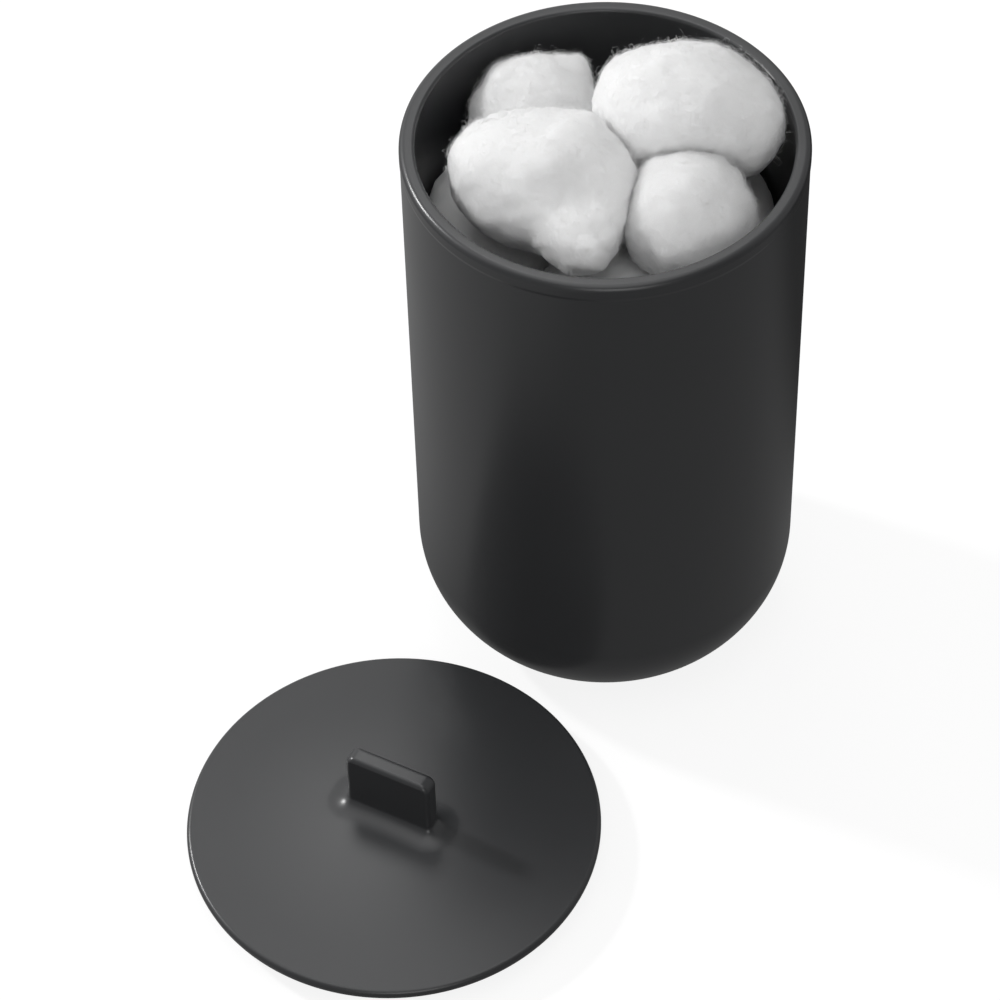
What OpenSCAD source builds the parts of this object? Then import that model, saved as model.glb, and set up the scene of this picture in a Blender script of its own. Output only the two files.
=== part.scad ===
// Bathroom canister: a round cup heaped with cotton balls, and its lid with a tab handle lying beside it.
// Millimetres. The origin is the centre of the cup's flat base, +Z is up and +Y points away from the viewer.

/* [Cup] */
// Diameter across the rim, outside
cup_d = 100; // [85:1:125]
// Height from the base to the top of the rim
cup_h = 169.5; // [150:1:210]
// Thickness of the wall and the floor
cup_wall = 3.8; // [2.8:0.1:4.5]
// Radius of the large round corner at the foot
foot_round = 30.5; // [15:0.5:40]
// How far the lip stands proud of the wall
lip_out = 0.15; // [0:0.05:0.6]
// Height of the lip
lip_h = 3.5; // [2:0.5:6]
// Rounding of the rim's outer edge
rim_round_out = 1.7; // [0.4:0.1:1.8]
// Rounding of the rim's inner edge
rim_round_in = 0.9; // [0.4:0.1:1]

/* [Lid] */
// How far the lid's edge overhangs the cup's rim, all round
lid_overhang = 3.7; // [1:0.1:6]
// Thickness of the flange at the lid's edge
lid_flange = 3; // [2.2:0.1:4]
// Rounding of the lid's outer edge
lid_edge_round = 1.3; // [0.5:0.1:1.4]
// How far the flange's top falls from the dome's edge to the lid's edge
flange_fall = 0.8; // [0:0.1:1.5]
// How far the dome rises above the flange
dome_rise = 2.6; // [1:0.2:8]
// Thickness of the dome
dome_wall = 2.8; // [2:0.1:4]
// How far the dome's edge lies inside the mouth
dome_inset = 1; // [0:0.5:4]
// Depth of the ring below the flange, which drops into the mouth
ring_h = 5.5; // [4:0.5:10]
// Thickness of the ring
ring_wall = 2; // [1.4:0.1:3]
// Play between the ring and the mouth, on the radius
ring_play = 0.4; // [0.2:0.1:1]

/* [Handle] */
// Length of the tab
tab_l = 24; // [16:0.4:32]
// Thickness of the tab
tab_t = 5; // [4:0.2:8]
// Height of the tab above the dome
tab_h = 19; // [14:0.2:28]
// Rounding of the tab's edges
tab_edge_round = 1.3; // [0.4:0.1:1.8]
// Rounding of the tab's two top corners
tab_corner_round = 2.6; // [1.8:0.2:5]
// How far the flared foot spreads from the tab
flare_reach = 6; // [2:0.5:9]
// How high the flared foot climbs the tab
flare_h = 2.5; // [2:0.5:8]

/* [Lid beside the cup] */
// Gap between the lid's edge and the cup's foot, at the height of the lid's edge
lid_gap = 7.5; // [2:0.5:60]
// Direction from the cup to the lid, turned from +X
lid_bearing = -123.8; // [-180:0.1:180]
// Turn of the tab from +X
tab_turn = -27.5; // [-90:0.1:90]

/* [Cotton balls] */
// Gap between a ball and what it rests on
cotton_gap = 0.3; // [0.2:0.1:0.8]
// How far a ball would swell past its share of the cup if nothing pressed on it
swell = 1.16; // [1.08:0.02:1.3]
// Height of the lumps on a ball, as a share of its radius
lump = 0.03; // [0:0.01:0.06]

/* [Hidden] */
$fn = 96;
tiny = 0.05;
steps_small = 6; // steps on a small rounding
steps_large = 20; // steps on a large round corner or the dome

// Cup: one centre serves both sides of the round corner at the foot
wall_r = cup_d / 2 - lip_out;
foot_x = wall_r - foot_round;
mouth_r = wall_r - cup_wall;
lip_blend = 0.8; // height over which the lip swells out of the wall
foot_in = foot_round - cup_wall;

// Lid, as it lies on its ring
lid_r = cup_d / 2 + lid_overhang;
flange_z = ring_h + lid_flange;
crown_z = flange_z + flange_fall + dome_rise;
dome_r = mouth_r - dome_inset;
dome_ball = (dome_r * dome_r + dome_rise * dome_rise) / (2 * dome_rise);
dome_c = crown_z - dome_ball;
ring_r = mouth_r - ring_play;
ring_in = ring_r - ring_wall;
edge_round = min(lid_edge_round, lid_flange / 2 - tiny);
lid_away = lid_r + side_r(flange_z, foot_round) + lid_gap;

// Tab: the foot's lowest ring stands just clear of the dome and is rooted in it
tab_steps = 8; // points on a quarter of a ring's corner
tab_root = dome_wall / 2;
upright = 1; // least height of the tab's side that stands upright
flare_top = min(flare_h, tab_h - tab_corner_round - upright);

// Cotton: four balls heaped in the mouth, then three balls to a layer down to the floor.
// Each heaped ball: x, y, height above the rim, half width, half depth, half height (shares of mouth_r), turn
heap = [
    [-0.315, -0.12, -0.19, 0.54, 0.385, 0.37, -16],
    [0.395, 0.25, -0.085, 0.43, 0.42, 0.38, 0],
    [-0.36, 0.5, -0.335, 0.335, 0.36, 0.34, 24],
    [0.4, -0.33, -0.26, 0.33, 0.36, 0.33, -10],
];
// Where a heaped ball bulges out of round: ball, direction, height as a share of its radius, half angle
bumps = [
    [0, [0.4, -0.91, -0.09], 0.85, 22],
    [0, [0.96, 0.2, 0.2], 0.06, 30],
    [1, [1, -0.1, -0.1], 0.34, 42],
    [1, [-0.79, 0.5, 0.33], 0.1, 30],
    [2, [0.64, 0.48, 0.58], 0.34, 16],
    [3, [1, -0.6, -0.4], 0.28, 40],
    [3, [-0.6, 0.6, 0.5], 0.1, 30],
];
heap_n = len(heap);
layers = 4;
per_layer = 3;
heap_low = 0.53 * mouth_r; // from the rim down to the underside of the heap
layer_h = (cup_h - heap_low - cup_wall) / layers;
layer_turn = 38; // turn from one layer to the next, and of the first from +X
nest_r = 0.51 * mouth_r; // from the cup's axis to the middle of a lower ball
nest_half = 0.5 * mouth_r; // half the width of a lower ball's share
ball_n = heap_n + layers * per_layer;
fine_ball = [32, 20]; // points round a ball that shows, and rings up it
plain_ball = [20, 12];
halvings = 14; // steps in the search for the cup's wall
soft = 24; // how crisply a ball turns from its own curve to a pressed face
facing = 0.05; // least cosine at which a neighbour can press on a direction
wave_n = 4; // waves that make the lumps, each in a direction of its own
wave_turn = 150; // degrees of the longest wave from a ball's middle to its skin
wave_fade = 0.8; // height of each wave to the one before

// Points on an arc about c, from angle a0 to a1
function arc(c, r, a0, a1, n) = [for (i = [0:n]) let(a = a0 + (a1 - a0) * i / n) c + r * [cos(a), sin(a)]];

// Radius at a height of a side whose round corner has radius r
function side_r(z, r) = z < foot_round ? foot_x + sqrt(max(0, r * r - pow(foot_round - z, 2))) : foot_x + r;

// Height of the lid's upper surface at a distance from its axis
function dome_z(r) = dome_c + sqrt(pow(dome_ball, 2) - r * r);

// A closed skin over stacked rings of equally many points, between a low and a high point
module skin(low, rings, high) {
    n = len(rings[0]);
    last = len(rings) - 1;
    points = concat([low], [for (ring = rings) each ring], [high]);
    end = len(points) - 1;
    sides = [for (k = [0:last - 1], i = [0:n - 1]) let(
        a = 1 + k * n + i, b = 1 + k * n + (i + 1) % n) each [[a, a + n, b], [b, a + n, b + n]]];
    bottom = [for (i = [0:n - 1]) [0, 1 + i, 1 + (i + 1) % n]];
    top = [for (i = [0:n - 1]) [end, 1 + last * n + (i + 1) % n, 1 + last * n + i]];
    polyhedron(points, concat(bottom, sides, top));
}

module cup_outline() {
    centre = [foot_x, foot_round];
    polygon(concat(
        [[0, 0]],
        arc(centre, foot_round, -90, 0, steps_large),
        [[wall_r, cup_h - lip_h - lip_blend], [cup_d / 2, cup_h - lip_h]],
        arc([cup_d / 2 - rim_round_out, cup_h - rim_round_out], rim_round_out, 0, 90, steps_small),
        arc([mouth_r + rim_round_in, cup_h - rim_round_in], rim_round_in, 90, 180, steps_small),
        arc(centre, foot_in, 0, -90, steps_large),
        [[0, cup_wall]]
    ));
}

module cup() {
    color("#2b2c2e") rotate_extrude() cup_outline();
}

module lid_outline() {
    under = dome_ball - dome_wall;
    dome_a = asin(dome_r / dome_ball);
    under_a = asin(ring_in / under);
    polygon(concat(
        arc([0, dome_c], under, 90, 90 - under_a, steps_large),
        [[ring_in, 0], [ring_r, 0], [ring_r, ring_h]],
        arc([lid_r - edge_round, ring_h + edge_round], edge_round, -90, 0, steps_small),
        arc([lid_r - edge_round, flange_z - edge_round], edge_round, 0, 90, steps_small),
        arc([0, dome_c], dome_ball, 90 - dome_a, 90, steps_large)
    ));
}

// A ring of the tab: a rectangle of half sizes a and b with corners of radius r
function tab_ring(a, b, r) = [
    for (q = [0:3], i = [0:tab_steps]) let(
        sx = q == 0 || q == 3 ? 1 : -1, sy = q < 2 ? 1 : -1, t = 90 * (q + i / tab_steps))
    [sx * (a - r) + r * cos(t), sy * (b - r) + r * sin(t)]
];

// Rings of the flared foot: s runs from 0 at the dome to 1 where the tab stands upright
function foot_ring(s) = let(out = flare_reach * (1 - sin(90 * s)), up = flare_top * (1 - cos(90 * s)))
    [for (p = tab_ring(tab_l / 2 + out, tab_t / 2 + out, tab_edge_round + out))
        [p.x, p.y, up + tiny + dome_z(norm(p)) * (1 - s) + crown_z * s]];

// Rings of the rounded top: t runs from 0 where the corners start to 1 at the top face
function top_ring(t) = let(
    up = tab_corner_round * sin(90 * t),
    corner_in = tab_corner_round * (1 - cos(90 * t)),
    edge_up = up - (tab_corner_round - tab_edge_round),
    edge_in = edge_up > 0 ? tab_edge_round - sqrt(max(0, pow(tab_edge_round, 2) - edge_up * edge_up)) : 0)
    [for (p = tab_ring(tab_l / 2 - corner_in, tab_t / 2 - edge_in, max(tiny, tab_edge_round - edge_in)))
        [p.x, p.y, crown_z + tab_h - tab_corner_round + up]];

module tab() {
    foot = [for (i = [0:steps_small]) foot_ring(i / steps_small)];
    top = [for (i = [0:steps_small]) top_ring(i / steps_small)];
    root = [for (p = foot[0]) [p.x, p.y, p.z - tab_root]];
    skin([0, 0, crown_z - tab_root], concat([root], foot, top), [0, 0, crown_z + tab_h]);
}

module lid() {
    color("#2f3032")
        translate([lid_away * cos(lid_bearing), lid_away * sin(lid_bearing), 0])
            rotate(tab_turn) {
                rotate_extrude() lid_outline();
                tab();
            }
}

// Middle, half sizes and turn of each ball
function ball_layer(i) = floor((i - heap_n) / per_layer);
function ball_a(i) = 360 / per_layer * ((i - heap_n) % per_layer) + layer_turn * (ball_layer(i) + 1);
function ball_c(i) = i < heap_n
    ? [0, 0, cup_h] + mouth_r * [heap[i][0], heap[i][1], heap[i][2]]
    : [nest_r * cos(ball_a(i)), nest_r * sin(ball_a(i)),
       cup_h - heap_low - layer_h * (ball_layer(i) + 0.5)];
function ball_half(i) = i < heap_n
    ? mouth_r * [heap[i][3], heap[i][4], heap[i][5]]
    : swell * [nest_half, nest_half, layer_h / 2];
function ball_turn(i) = i < heap_n ? heap[i][6] : ball_a(i);

// A ball's own radius in direction d, with its lumps
function bulge(i, d) = let(v = rands(-1, 1, 3 * wave_n, i + 1), waves = [for (k = [0:wave_n - 1])
    sin(wave_turn * (k + 1) * (v[3 * k] * d.x + v[3 * k + 1] * d.y + v[3 * k + 2] * d.z) + 90 * k)])
    1 + lump * (waves * [for (k = [0:wave_n - 1]) pow(wave_fade, k)]) + bumps_at(i, d) * [for (b = bumps) 1];
function bumps_at(i, d) = [for (b = bumps)
    b[0] == i ? b[2] * exp(-pow(acos(max(-1, min(1, d * b[1] / norm(b[1])))) / b[3], 2)) : 0];
function own_r(i, d) = let(h = ball_half(i), t = ball_turn(i),
    e = [(d.x * cos(t) + d.y * sin(t)) / h.x, (d.y * cos(t) - d.x * sin(t)) / h.y, d.z / h.z])
    bulge(i, d) / norm(e);

// How far ball i may reach in direction d before it meets ball j
function share(i, j) = let(to = ball_c(j) - ball_c(i), n = to / norm(to), ri = own_r(i, n), rj = own_r(j, -n))
    [n, norm(to) * ri / (ri + rj) - cotton_gap / 2];
function in_cup(p) = p.z > cup_wall + cotton_gap
    && norm([p.x, p.y]) < side_r(p.z - cotton_gap, foot_in) - cotton_gap;
function cup_reach(c, d, near, far, left) = let(mid = (near + far) / 2, clear = in_cup(c + mid * d))
    left == 0 ? near : cup_reach(c, d, clear ? mid : near, clear ? far : mid, left - 1);

module cotton_ball(i) {
    n = i < heap_n ? fine_ball : plain_ball;
    c = ball_c(i);
    planes = [for (j = [0:ball_n - 1]) if (j != i) share(i, j)];
    function reach(d) = let(
        limits = [for (p = planes) if (p[0] * d > facing) p[1] / (p[0] * d)],
        all = concat([own_r(i, d), cup_reach(c, d, 0, cup_d, halvings)], limits),
        near = min(all),
        total = [for (x = all) pow(x / near, -soft)] * [for (x = all) 1])
        c + near * pow(total, -1 / soft) * d;
    color("whitesmoke") skin(
        reach([0, 0, -1]),
        [for (k = [1:n[1] - 1]) let(e = -90 + 180 * k / n[1]) [for (s = [0:n[0] - 1])
            let(a = 360 * s / n[0]) reach([cos(e) * cos(a), cos(e) * sin(a), sin(e)])]],
        reach([0, 0, 1])
    );
}

cup();
lid();
for (i = [0:ball_n - 1]) {
    cotton_ball(i);
}
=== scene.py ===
import math

import bpy
import numpy as np
from mathutils import Matrix, Vector, noise

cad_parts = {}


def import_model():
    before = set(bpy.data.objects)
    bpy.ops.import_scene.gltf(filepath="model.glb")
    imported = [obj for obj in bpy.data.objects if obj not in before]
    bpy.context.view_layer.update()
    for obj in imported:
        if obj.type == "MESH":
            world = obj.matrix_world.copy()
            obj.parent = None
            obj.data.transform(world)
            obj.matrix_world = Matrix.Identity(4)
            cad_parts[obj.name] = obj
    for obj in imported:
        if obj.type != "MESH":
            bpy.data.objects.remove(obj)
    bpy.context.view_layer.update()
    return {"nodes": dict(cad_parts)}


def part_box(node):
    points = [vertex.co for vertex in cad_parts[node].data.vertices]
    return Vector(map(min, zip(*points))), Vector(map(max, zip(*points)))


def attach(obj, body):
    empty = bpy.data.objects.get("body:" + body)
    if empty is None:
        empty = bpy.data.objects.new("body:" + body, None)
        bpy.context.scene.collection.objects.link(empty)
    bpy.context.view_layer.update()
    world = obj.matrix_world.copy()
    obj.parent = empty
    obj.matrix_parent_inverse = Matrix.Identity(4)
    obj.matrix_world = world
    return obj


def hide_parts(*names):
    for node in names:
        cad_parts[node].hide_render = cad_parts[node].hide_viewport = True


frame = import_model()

# Looks of the bathroom canister: satin charcoal cup and lid, and the cotton balls heaped in the cup.
# The object's lengths are in millimetres, and MM turns them into metres as a mesh is made.
# Materials, floor and lamps are in metres from the start.
MM = 0.001

# Cup, from its node's box, and the sizes that the box doesn't give
cup_low, cup_high = (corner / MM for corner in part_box("cup"))
CUP_R = (cup_high.x - cup_low.x) / 2
CUP_H = cup_high.z
CUP_WALL = 3.8
FOOT_ROUND = 30.5
LIP_OUT = 0.15
LIP_H = 3.5
LIP_BLEND = 1.2
RIM_ROUND_OUT = 1.7
RIM_ROUND_IN = 0.9

# Lid, from its node's box
lid_low, lid_high = (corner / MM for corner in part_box("lid"))
LID_X = (lid_low.x + lid_high.x) / 2
LID_Y = (lid_low.y + lid_high.y) / 2
LID_R = (lid_high.x - lid_low.x) / 2
RING_H = 5.5
RING_WALL = 2.0
RING_PLAY = 0.4
RING_ROUND = 0.3
RING_FILLET = 0.2
FLANGE = 3.0
FLANGE_FALL = 0.8
LID_EDGE_ROUND = 1.3
DOME_RISE = 2.6
DOME_WALL = 2.8
DOME_INSET = 1.0
TAB_L = 24.0
TAB_T = 5.0
TAB_EDGE_ROUND = 1.3
TAB_CORNER_ROUND = 2.6
TAB_TURN = -27.5
FLARE_REACH = 6.0
FLARE_H = 2.5

# How finely the smooth meshes are cut
ROUND = 256
ARC_SMALL = 10
ARC_LARGE = 36
HEAP = 4
BALLS = 16
RINGS_HOLLOW = 12
RINGS_FLANGE = 5
RINGS_DOME = 28
RINGS_FLARE = 17
RINGS_SIDE = 8
RINGS_TOP = 15

# Cotton: voxel size and smoothing of the balls that show and of the plain ones under them, in mm and passes
FINE_CELL, FINE_PASSES = 0.8, 7
PLAIN_CELL, PLAIN_PASSES = 1.8, 4
# Fluff: how far the skin stands out on the whole, then height and width of each size of tuft, in mm
FLUFF_OUT = 0.45
TUFTS = ((0.5, 15), (0.55, 5), (0.35, 2), (0.15, 1))
# Nap: fibres on a ball that shows and on each of the plain balls that can be glimpsed
FINE_FIBRES, PLAIN_FIBRES = 8200, 800
GLIMPSED = 3
# Each fibre: steps and sides of its tube, then in mm its length, its radius, the shape and scale of its
# random lift and the spread of its curl, and last the number of its waves
FIBRE_STEPS = 4
FIBRE_SIDES = 3
FIBRE_LENGTH = (1.2, 4.0)
FIBRE_THICK = (0.012, 0.024)
FIBRE_LIFT = (2.0, 0.3)
FIBRE_CURL = 0.4
FIBRE_WAVES = (0.5, 1.3)
# Fibres with a free end and how much higher they rise, how deep roots sit, and the weight of sideways faces
FREE_SHARE = 0.12
FREE_RISE = 1.3
ROOT_DEPTH = 0.1
SIDEWAYS_SHARE = 0.4

WHITE = (1, 1, 1, 1)


def arc(centre, radius, start, end, steps):
    """Points on an arc in the plane of a profile, angles in degrees."""
    angles = np.radians(np.linspace(start, end, steps + 1))
    return [(centre[0] + radius * math.cos(a), centre[1] + radius * math.sin(a)) for a in angles]


def put(name, data):
    """A new object of the scene, around a mesh, a lamp or a camera."""
    obj = bpy.data.objects.new(name, data)
    bpy.context.scene.collection.objects.link(obj)
    return obj


def smooth(mesh):
    """Smooth shading on every face."""
    mesh.polygons.foreach_set("use_smooth", [True] * len(mesh.polygons))
    mesh.update()


def skin(name, rings, low, high):
    """One closed smooth mesh over stacked rings of equally many points, between a low and a high point."""
    rings = np.array(rings, float)
    layers, around = rings.shape[:2]
    points = np.vstack([[low], rings.reshape(-1, 3), [high]]) * MM
    here = np.arange(around)
    after = (here + 1) % around
    last = 1 + (layers - 1) * around
    faces = [(0, 1 + b, 1 + a) for a, b in zip(here, after)]
    for k in range(layers - 1):
        row = 1 + k * around
        faces += [(row + a, row + b, row + around + b, row + around + a) for a, b in zip(here, after)]
    faces += [(len(points) - 1, last + a, last + b) for a, b in zip(here, after)]
    mesh = bpy.data.meshes.new(name)
    mesh.from_pydata(points.tolist(), [], [tuple(int(i) for i in face) for face in faces])
    smooth(mesh)
    obj = put(name, mesh)
    flats = obj.modifiers.new("flats_stay_flat", "WEIGHTED_NORMAL")
    flats.mode = "FACE_AREA"
    return obj


def circle(radius, z):
    """A ring of points at one height."""
    turn = np.linspace(0, 2 * math.pi, ROUND, endpoint=False)
    return np.column_stack([radius * np.cos(turn), radius * np.sin(turn), np.full(ROUND, z)])


def cup_shell():
    """The cup: straight wall on a large round foot, with a slightly proud rounded lip."""
    wall_r = CUP_R - LIP_OUT
    mouth_r = wall_r - CUP_WALL
    foot = (wall_r - FOOT_ROUND, FOOT_ROUND)
    lip_foot = CUP_H - LIP_H
    outside = arc(foot, FOOT_ROUND, -90, 0, ARC_LARGE)
    outside += [(wall_r, z) for z in np.linspace(FOOT_ROUND, lip_foot - LIP_BLEND, 8)[1:]]
    outside += [(wall_r + LIP_OUT * (3 - 2 * s) * s * s, lip_foot + LIP_BLEND * (s - 1))
                for s in np.linspace(0, 1, ARC_SMALL + 1)[1:]]
    outside += arc((CUP_R - RIM_ROUND_OUT, CUP_H - RIM_ROUND_OUT), RIM_ROUND_OUT, 0, 90, ARC_SMALL)
    inside = arc((mouth_r + RIM_ROUND_IN, CUP_H - RIM_ROUND_IN), RIM_ROUND_IN, 90, 180, ARC_SMALL)
    inside += [(mouth_r, z) for z in np.linspace(CUP_H - RIM_ROUND_IN, FOOT_ROUND, 9)[1:-1]]
    inside += arc(foot, FOOT_ROUND - CUP_WALL, 0, -90, ARC_LARGE)
    rings = [circle(r, z) for r, z in outside + inside]
    return skin("cup_shell", rings, (0, 0, 0), (0, 0, CUP_WALL))


def rounded(half_x, half_y, corner):
    """ROUND points at even steps along a rectangle with round corners, from the middle of its +X side."""
    corner = max(corner, 0.02)
    a, b = half_x - corner, half_y - corner
    quarter = math.pi / 2 * corner
    lengths = [b, quarter, 2 * a, quarter, 2 * b, quarter, 2 * a, quarter, b]
    ends = np.cumsum([0] + lengths)
    points = []
    for s in np.linspace(0, ends[-1], ROUND, endpoint=False):
        k = int(np.searchsorted(ends, s, side="right")) - 1
        t = s - ends[k]
        turn = t / corner
        x, y = [
            (half_x, t),
            (a + corner * math.cos(turn), b + corner * math.sin(turn)),
            (a - t, half_y),
            (-a - corner * math.sin(turn), b + corner * math.cos(turn)),
            (-half_x, b - t),
            (-a - corner * math.cos(turn), -b - corner * math.sin(turn)),
            (-a + t, -half_y),
            (a + corner * math.sin(turn), -b - corner * math.cos(turn)),
            (half_x, -b + t),
        ][k]
        points.append((x, y))
    return np.array(points)


def lid_shell():
    """The lid in one skin: the tab with its flared foot, the dome, the flange and the ring under it."""
    mouth_r = CUP_R - LIP_OUT - CUP_WALL
    flange_z = RING_H + FLANGE
    dome_foot = flange_z + FLANGE_FALL
    crown_z = dome_foot + DOME_RISE
    tab_h = lid_high.z - crown_z
    dome_r = mouth_r - DOME_INSET
    ball = (dome_r ** 2 + DOME_RISE ** 2) / (2 * DOME_RISE)
    middle = crown_z - ball
    ring_r = mouth_r - RING_PLAY
    ring_in = ring_r - RING_WALL

    def on_dome(xy):
        """Height of the dome over points of the plan."""
        return middle + np.sqrt(ball ** 2 - (xy ** 2).sum(1))

    def flat_ring(xy, z):
        """A ring over points of the plan, at one height or at a height for each."""
        return np.column_stack([xy, np.full(ROUND, z) if np.isscalar(z) else z])

    rings = []
    # Underside, from the middle of the hollow out to the lid's edge
    under = ball - DOME_WALL
    under_a = math.degrees(math.asin(ring_in / under))
    hollow = arc((0, middle), under, 90, 90 - under_a, RINGS_HOLLOW)[1:]
    hollow += [(ring_in, z) for z in np.linspace(hollow[-1][1], RING_ROUND, 4)[1:]]
    hollow += arc((ring_in + RING_ROUND, RING_ROUND), RING_ROUND, 180, 270, 4)
    hollow += arc((ring_r - RING_ROUND, RING_ROUND), RING_ROUND, 270, 360, 4)
    hollow += [(ring_r, RING_H - RING_FILLET), (ring_r + RING_FILLET, RING_H)]
    edge = arc((LID_R - LID_EDGE_ROUND, RING_H + LID_EDGE_ROUND), LID_EDGE_ROUND, -90, 0, ARC_SMALL)
    edge += arc((LID_R - LID_EDGE_ROUND, flange_z - LID_EDGE_ROUND), LID_EDGE_ROUND, 0, 90, ARC_SMALL)
    rings += [circle(r, z) for r, z in hollow + edge]
    # Top of the flange and the dome, from round rings to the foot of the tab
    foot = rounded(TAB_L / 2 + FLARE_REACH, TAB_T / 2 + FLARE_REACH, TAB_EDGE_ROUND + FLARE_REACH)
    turn = np.linspace(0, 2 * math.pi, ROUND, endpoint=False)
    wheel = np.stack([np.cos(turn), np.sin(turn)], 1)
    slope = FLANGE_FALL / (LID_R - LID_EDGE_ROUND - dome_r)
    rings += [circle(r, flange_z + slope * (LID_R - LID_EDGE_ROUND - r))
              for r in np.linspace(LID_R - LID_EDGE_ROUND, dome_r, RINGS_FLANGE)[1:-1]]
    for share in np.linspace(1, 0, RINGS_DOME, endpoint=False):
        xy = foot * (1 - share) + wheel * dome_r * share
        rings.append(flat_ring(xy, on_dome(xy)))
    # The flared foot and the upright sides
    for s in np.linspace(0, 1, RINGS_FLARE):
        out = FLARE_REACH * (1 - math.sin(math.pi / 2 * s))
        up = FLARE_H * (1 - math.cos(math.pi / 2 * s))
        xy = rounded(TAB_L / 2 + out, TAB_T / 2 + out, TAB_EDGE_ROUND + out)
        rings.append(flat_ring(xy, up + on_dome(xy) * (1 - s) + crown_z * s))
    side_top = crown_z + tab_h - TAB_CORNER_ROUND
    upright = rounded(TAB_L / 2, TAB_T / 2, TAB_EDGE_ROUND)
    for z in np.linspace(crown_z + FLARE_H, side_top, RINGS_SIDE)[1:-1]:
        rings.append(flat_ring(upright, z))
    # The rounded top: its corners and its long edges have their own radii
    for t in np.linspace(0, 90, RINGS_TOP):
        up = TAB_CORNER_ROUND * math.sin(math.radians(t))
        corner_in = TAB_CORNER_ROUND * (1 - math.cos(math.radians(t)))
        edge_up = max(0, up - (TAB_CORNER_ROUND - TAB_EDGE_ROUND))
        edge_in = TAB_EDGE_ROUND - math.sqrt(max(0, TAB_EDGE_ROUND ** 2 - edge_up ** 2))
        xy = rounded(TAB_L / 2 - corner_in, TAB_T / 2 - edge_in, TAB_EDGE_ROUND - edge_in)
        rings.append(flat_ring(xy, side_top + up))
    for share in (0.8, 0.5, 0.2):
        rings.append(flat_ring(xy * share, side_top + TAB_CORNER_ROUND))
    lid = skin("lid_shell", rings, (0, 0, middle + under), (0, 0, crown_z + tab_h))
    place = Vector((LID_X * MM, LID_Y * MM, 0))
    turned = math.radians(TAB_TURN)
    for vertex in lid.data.vertices:
        x, y, z = vertex.co
        vertex.co = place + Vector((x * math.cos(turned) - y * math.sin(turned),
                                    x * math.sin(turned) + y * math.cos(turned), z))
    return lid


def new_material(name):
    """A material with its Principled shader, and a function that adds a node and sets its sockets."""
    material = bpy.data.materials.new(name)
    material.use_nodes = True
    tree = material.node_tree
    shader = tree.nodes["Principled BSDF"]

    def add(kind, **sockets):
        node = tree.nodes.new(kind)
        for key, value in sockets.items():
            if hasattr(node, key):
                setattr(node, key, value)
            else:
                node.inputs[key.replace("_", " ")].default_value = value
        return node

    return material, tree.links.new, shader, add


def plastic():
    """Satin charcoal moulding: a fine matt grain over a faint unevenness."""
    material, link, shader, add = new_material("satin_charcoal")
    place = add("ShaderNodeTexCoord")
    cloud = add("ShaderNodeTexNoise", Scale=28.0, Detail=3.0)
    grain = add("ShaderNodeTexNoise", Scale=5200.0, Detail=2.0)
    tone = add("ShaderNodeMix", data_type="RGBA")
    tone.inputs["A"].default_value = (0.0285, 0.0293, 0.031, 1)
    tone.inputs["B"].default_value = (0.0325, 0.0333, 0.035, 1)
    sheen = add("ShaderNodeMapRange")
    sheen.inputs["To Min"].default_value = 0.29
    sheen.inputs["To Max"].default_value = 0.34
    bump = add("ShaderNodeBump", Strength=0.25, Distance=0.00002)
    link(place.outputs["Object"], cloud.inputs["Vector"])
    link(place.outputs["Object"], grain.inputs["Vector"])
    link(cloud.outputs["Fac"], tone.inputs["Factor"])
    link(cloud.outputs["Fac"], sheen.inputs["Value"])
    link(grain.outputs["Fac"], bump.inputs["Height"])
    link(tone.outputs["Result"], shader.inputs["Base Color"])
    link(sheen.outputs["Result"], shader.inputs["Roughness"])
    link(bump.outputs["Normal"], shader.inputs["Normal"])
    shader.inputs["Specular IOR Level"].default_value = 0.5
    return material


def cotton(name, low, high, depth):
    """Loose white cotton under a fine nap. Light passes into it to a depth in metres, or not at all for 0."""
    material, link, shader, add = new_material(name)
    place = add("ShaderNodeTexCoord")
    nap = add("ShaderNodeTexNoise", Scale=1500.0, Detail=4.0, Roughness=0.7, Distortion=1.2)
    pads = add("ShaderNodeTexNoise", Scale=130.0, Detail=2.0)
    tone = add("ShaderNodeMix", data_type="RGBA")
    tone.inputs["A"].default_value = (low, low, low, 1)
    tone.inputs["B"].default_value = (high, high, high, 1)
    bump = add("ShaderNodeBump", Strength=0.35, Distance=0.0001)
    link(place.outputs["Object"], nap.inputs["Vector"])
    link(place.outputs["Object"], pads.inputs["Vector"])
    link(pads.outputs["Fac"], tone.inputs["Factor"])
    link(nap.outputs["Fac"], bump.inputs["Height"])
    link(tone.outputs["Result"], shader.inputs["Base Color"])
    link(bump.outputs["Normal"], shader.inputs["Normal"])
    shader.inputs["Roughness"].default_value = 0.95
    shader.inputs["Specular IOR Level"].default_value = 0.05
    shader.inputs["Subsurface Weight"].default_value = 1.0 if depth else 0.0
    shader.inputs["Subsurface Radius"].default_value = (1.0, 1.0, 1.0)
    shader.inputs["Subsurface Scale"].default_value = depth
    shader.inputs["Sheen Weight"].default_value = 0.2
    shader.inputs["Sheen Roughness"].default_value = 0.7
    return material


def dress(obj, material):
    """A piece with its material and slot, on the one body that there is."""
    obj.data.materials.clear()
    obj.data.materials.append(material)
    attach(obj, "root")
    return obj


def fluff(position, seed):
    """How far the cotton's skin stands out at a place, in mm: broad pads with finer and finer tufts."""
    where = position + Vector((seed * 31.7, seed * 17.3, seed * 7.9))
    out = FLUFF_OUT
    for height, width in TUFTS:
        out += height * noise.noise(where / width)
    return out


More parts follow.
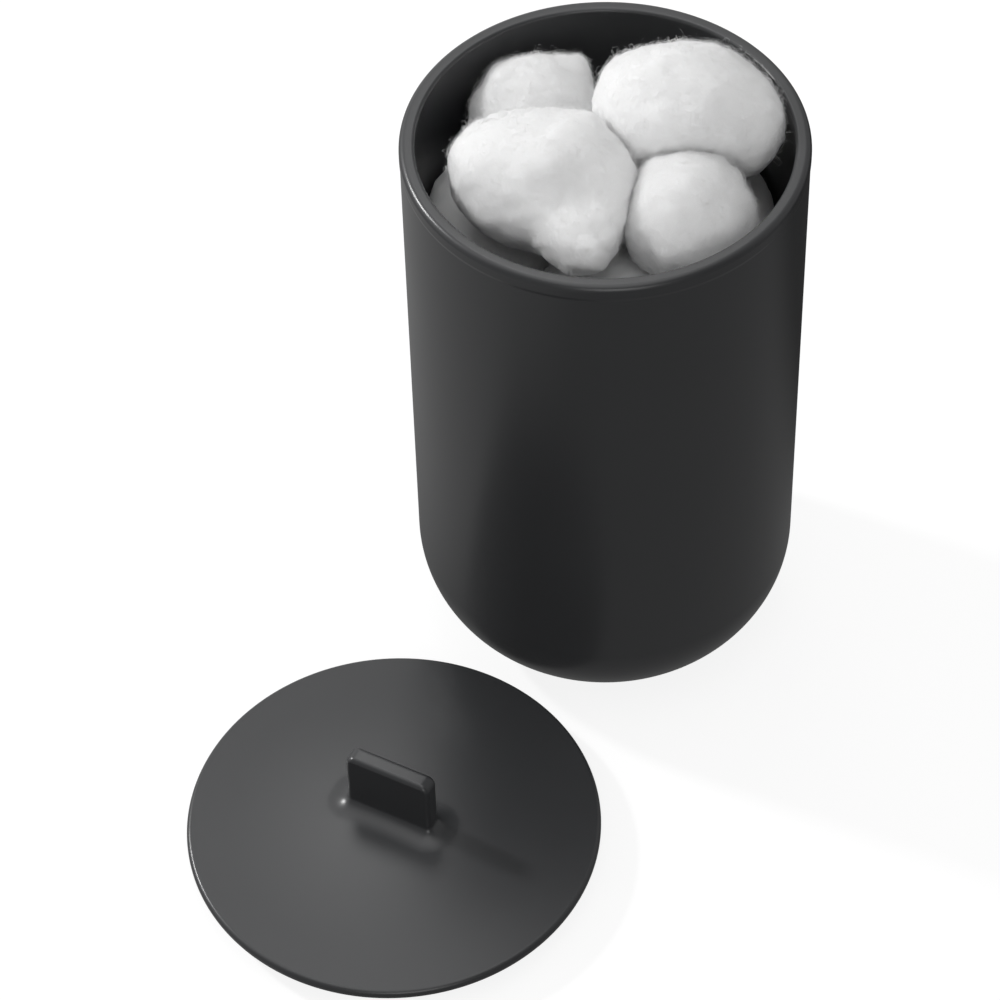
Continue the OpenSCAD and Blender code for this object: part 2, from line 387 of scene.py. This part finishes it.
def cotton_ball(number, cell, passes):
    """A ball's CAD solid remeshed, softened and made fluffy."""
    node = f"cotton_ball_{number}"
    obj = put(f"cotton_puff_{number}", frame["nodes"][node].data.copy())
    remesh = obj.modifiers.new("even", "REMESH")
    remesh.mode = "VOXEL"
    remesh.voxel_size = cell * MM
    soften = obj.modifiers.new("soften", "SMOOTH")
    soften.factor = 0.5
    soften.iterations = passes
    depsgraph = bpy.context.evaluated_depsgraph_get()
    mesh = bpy.data.meshes.new_from_object(obj.evaluated_get(depsgraph))
    obj.modifiers.clear()
    obj.data = mesh
    normals = [vertex.normal.copy() for vertex in mesh.vertices]
    for vertex, normal in zip(mesh.vertices, normals):
        vertex.co += normal * fluff(vertex.co / MM, number) * MM
    smooth(mesh)
    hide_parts(node)
    return obj


def fibres(puff, number, count):
    """A nap of very fine fibres: bows that leave the skin and come back, and a few with a free end."""
    rng = np.random.default_rng(100 + number)
    mesh = puff.data
    mesh.calc_loop_triangles()
    triangles = np.array([t.vertices[:] for t in mesh.loop_triangles])
    co = np.array([v.co for v in mesh.vertices]) / MM
    normal = np.array([v.normal for v in mesh.vertices])
    corners = co[triangles]
    share = np.cross(corners[:, 1] - corners[:, 0], corners[:, 2] - corners[:, 0])
    share = np.clip(share[:, 2] + SIDEWAYS_SHARE * np.linalg.norm(share, axis=1), 0, None)
    chosen = rng.choice(len(triangles), count, p=share / share.sum())
    weight = rng.dirichlet((1, 1, 1), count)
    root = np.einsum("ij,ijk->ik", weight, corners[chosen])
    up = np.einsum("ij,ijk->ik", weight, normal[triangles[chosen]])
    up /= np.linalg.norm(up, axis=1, keepdims=True)
    along = np.cross(up, rng.normal(size=(count, 3)))
    along /= np.linalg.norm(along, axis=1, keepdims=True)
    across = np.cross(up, along)
    one = (count, 1, 1)
    u = np.linspace(0, 1, FIBRE_STEPS)[None, :, None]
    length = rng.uniform(*FIBRE_LENGTH, one)
    lift = rng.gamma(*FIBRE_LIFT, one)
    free = rng.random(one) < FREE_SHARE
    curl = rng.normal(0, FIBRE_CURL, one)
    phase = rng.uniform(0, 2 * math.pi, one)
    waves = rng.uniform(*FIBRE_WAVES, one)
    rise = np.where(free, lift * FREE_RISE * u ** 1.5, lift * 4 * u * (1 - u)) - ROOT_DEPTH
    path = (root[:, None] + along[:, None] * length * (u - np.where(free, 0.2, 0.5))
            + up[:, None] * rise + across[:, None] * curl * np.sin(2 * math.pi * waves * u + phase))
    thick = rng.uniform(*FIBRE_THICK, one) * (1 - 0.5 * u)
    turn = 2 * math.pi * np.arange(FIBRE_SIDES) / FIBRE_SIDES
    tube = (path[:, :, None] + thick[..., None] * (
        np.cos(turn)[None, None, :, None] * up[:, None, None]
        + np.sin(turn)[None, None, :, None] * across[:, None, None]))
    per = FIBRE_STEPS * FIBRE_SIDES
    quads = []
    for start in range(0, per - FIBRE_SIDES, FIBRE_SIDES):
        for side in range(FIBRE_SIDES):
            a, b = start + side, start + (side + 1) % FIBRE_SIDES
            quads.append((a, b, b + FIBRE_SIDES, a + FIBRE_SIDES))
    caps = [tuple(reversed(range(FIBRE_SIDES))), tuple(range(per - FIBRE_SIDES, per))]
    faces = [tuple(i + start for i in face) for start in range(0, count * per, per) for face in quads + caps]
    mesh = bpy.data.meshes.new(f"cotton_fibres_{number}")
    mesh.from_pydata((tube.reshape(-1, 3) * MM).tolist(), [], faces)
    smooth(mesh)
    return put(f"cotton_fibres_{number}", mesh)


charcoal = plastic()
cup = dress(cup_shell(), charcoal)
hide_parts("cup")
lid = dress(lid_shell(), charcoal)
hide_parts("lid")

loose = cotton("loose_cotton", 0.88, 0.91, 0.009)
fine = cotton("cotton_fibre", 0.92, 0.95, 0.0)
for number in range(1, BALLS + 1):
    if number <= HEAP:
        cell, passes, count = FINE_CELL, FINE_PASSES, FINE_FIBRES
    else:
        cell, passes, count = PLAIN_CELL, PLAIN_PASSES, PLAIN_FIBRES
    puff = dress(cotton_ball(number, cell, passes), loose)
    if number <= HEAP + GLIMPSED:
        dress(fibres(puff, number, count), fine)


# Floor, world, lamps and camera
def ramp(tree, value, start, end, low, high):
    """A smooth step of a value, from low at start to high at end."""
    step = tree.nodes.new("ShaderNodeMapRange")
    step.interpolation_type = "SMOOTHSTEP"
    for name, number in (("From Min", start), ("From Max", end), ("To Min", low), ("To Max", high)):
        step.inputs[name].default_value = number
    tree.links.new(value, step.inputs["Value"])
    return step.outputs["Result"]


def maths(tree, operation, first, second):
    """One value made of two, such as their greatest or their product."""
    node = tree.nodes.new("ShaderNodeMath")
    node.operation = operation
    tree.links.new(first, node.inputs[0])
    tree.links.new(second, node.inputs[1])
    return node.outputs[0]


def world():
    """Soft even light, white to the camera. In gloss it is white behind, dim in front and on the right."""
    made = bpy.data.worlds.new("studio")
    bpy.context.scene.world = made
    made.use_nodes = True
    tree = made.node_tree
    even = tree.nodes["Background"]
    even.inputs["Color"].default_value = (0.36, 0.36, 0.36, 1)
    rays = tree.nodes.new("ShaderNodeLightPath").outputs
    place = tree.nodes.new("ShaderNodeTexCoord")
    split = tree.nodes.new("ShaderNodeSeparateXYZ")
    tree.links.new(place.outputs["Generated"], split.inputs[0])
    clear = maths(tree, "MAXIMUM", rays["Is Camera Ray"], rays["Is Transmission Ray"])
    white = tree.nodes.new("ShaderNodeBackground")
    white.inputs["Color"].default_value = WHITE
    sides = ramp(tree, split.outputs["X"], 0.0, 0.5, 1.0, 0.5)
    ahead = ramp(tree, split.outputs["Y"], -0.5, 0.1, 0.25, 1.0)
    strength = maths(tree, "MAXIMUM", clear, maths(tree, "MULTIPLY", sides, ahead))
    tree.links.new(strength, white.inputs["Strength"])
    mix = tree.nodes.new("ShaderNodeMixShader")
    tree.links.new(maths(tree, "MAXIMUM", clear, rays["Is Glossy Ray"]), mix.inputs["Fac"])
    tree.links.new(even.outputs[0], mix.inputs[1])
    tree.links.new(white.outputs[0], mix.inputs[2])
    tree.links.new(mix.outputs[0], tree.nodes["World Output"].inputs["Surface"])


def floor():
    """A white floor that keeps the shadow. In gloss it shows a painted glow instead of its own shading:
    painted light pale to the left and in front, painted shade dark at the back right.
    """
    mesh = bpy.data.meshes.new("floor")
    half = 3.0
    corners = [(-half, -half, 0), (half, -half, 0), (half, half, 0), (-half, half, 0)]
    mesh.from_pydata(corners, [], [(0, 1, 2, 3)])
    obj = put("floor", mesh)
    material, link, shader, add = new_material("pale_floor")
    tree = material.node_tree
    shader.inputs["Base Color"].default_value = (0.2, 0.2, 0.2, 1)
    shader.inputs["Roughness"].default_value = 1.0
    shader.inputs["Specular IOR Level"].default_value = 0.0
    shader.inputs["Emission Color"].default_value = WHITE
    rays = add("ShaderNodeLightPath").outputs
    clear = maths(tree, "MAXIMUM", rays["Is Camera Ray"], rays["Is Transmission Ray"])
    link(ramp(tree, clear, 0.0, 1.0, 0.0, 0.85), shader.inputs["Emission Strength"])
    split = add("ShaderNodeSeparateXYZ")
    link(add("ShaderNodeTexCoord").outputs["Object"], split.inputs[0])
    # Painted light and shade seen only in reflections: glossy rays get this glow, pale to the left and in
    # front and dark at the back right, in place of the floor's lit and shaded look.
    left = ramp(tree, split.outputs["X"], -0.12, 0.0, 0.42, 0.0)
    front = ramp(tree, split.outputs["Y"], 0.0, 0.08, 0.22, 0.05)
    painted_gloss_glow = add("ShaderNodeEmission")
    link(maths(tree, "MAXIMUM", left, front), painted_gloss_glow.inputs["Strength"])
    mix = add("ShaderNodeMixShader")
    link(rays["Is Glossy Ray"], mix.inputs["Fac"])
    link(shader.outputs[0], mix.inputs[1])
    link(painted_gloss_glow.outputs[0], mix.inputs[2])
    link(mix.outputs[0], tree.nodes["Material Output"].inputs["Surface"])
    mesh.materials.append(material)


def lamp(name, bearing, height, distance, size, power, aim):
    """An area lamp at a bearing from +X and a height above the floor, both in degrees, aimed at a point."""
    data = bpy.data.lights.new(name, "AREA")
    data.shape = "RECTANGLE"
    data.size, data.size_y = size
    data.energy = power
    obj = put(name, data)
    b, h = math.radians(bearing), math.radians(height)
    away = Vector((math.cos(h) * math.cos(b), math.cos(h) * math.sin(b), math.sin(h)))
    obj.location = aim + away * distance
    obj.rotation_euler = away.to_track_quat("Z", "Y").to_euler()


def camera():
    """The photograph's view: down on the canister from the front, with a slight roll."""
    data = bpy.data.cameras.new("camera")
    data.sensor_width = 36.0
    data.lens = 140.866
    data.clip_start, data.clip_end = 0.01, 20
    obj = put("camera", data)
    obj.location = Vector((-16.238, -680.961, 831.244)) * MM
    forward = Vector((-0.01124334, 0.65045021, -0.75946568))
    right = Vector((0.99978831, -0.00577555, -0.01974765))
    obj.rotation_euler = Matrix((right, right.cross(forward), -forward)).transposed().to_euler()
    bpy.context.scene.camera = obj


world()
floor()
aim = Vector((-0.02, -0.03, 0.08))
lamp("key", 154, 34, 1.6, (0.14, 0.14), 15, aim)
lamp("back_box", 97, 56, 1.5, (0.5, 0.4), 1.8, aim)
lamp("top_box", -90, 84, 1.5, (0.9, 1.5), 4.5, aim)
lamp("front_box", -84, 26, 1.8, (0.9, 0.9), 6.5, aim)
camera()
bpy.context.scene.view_settings.view_transform = "Standard"
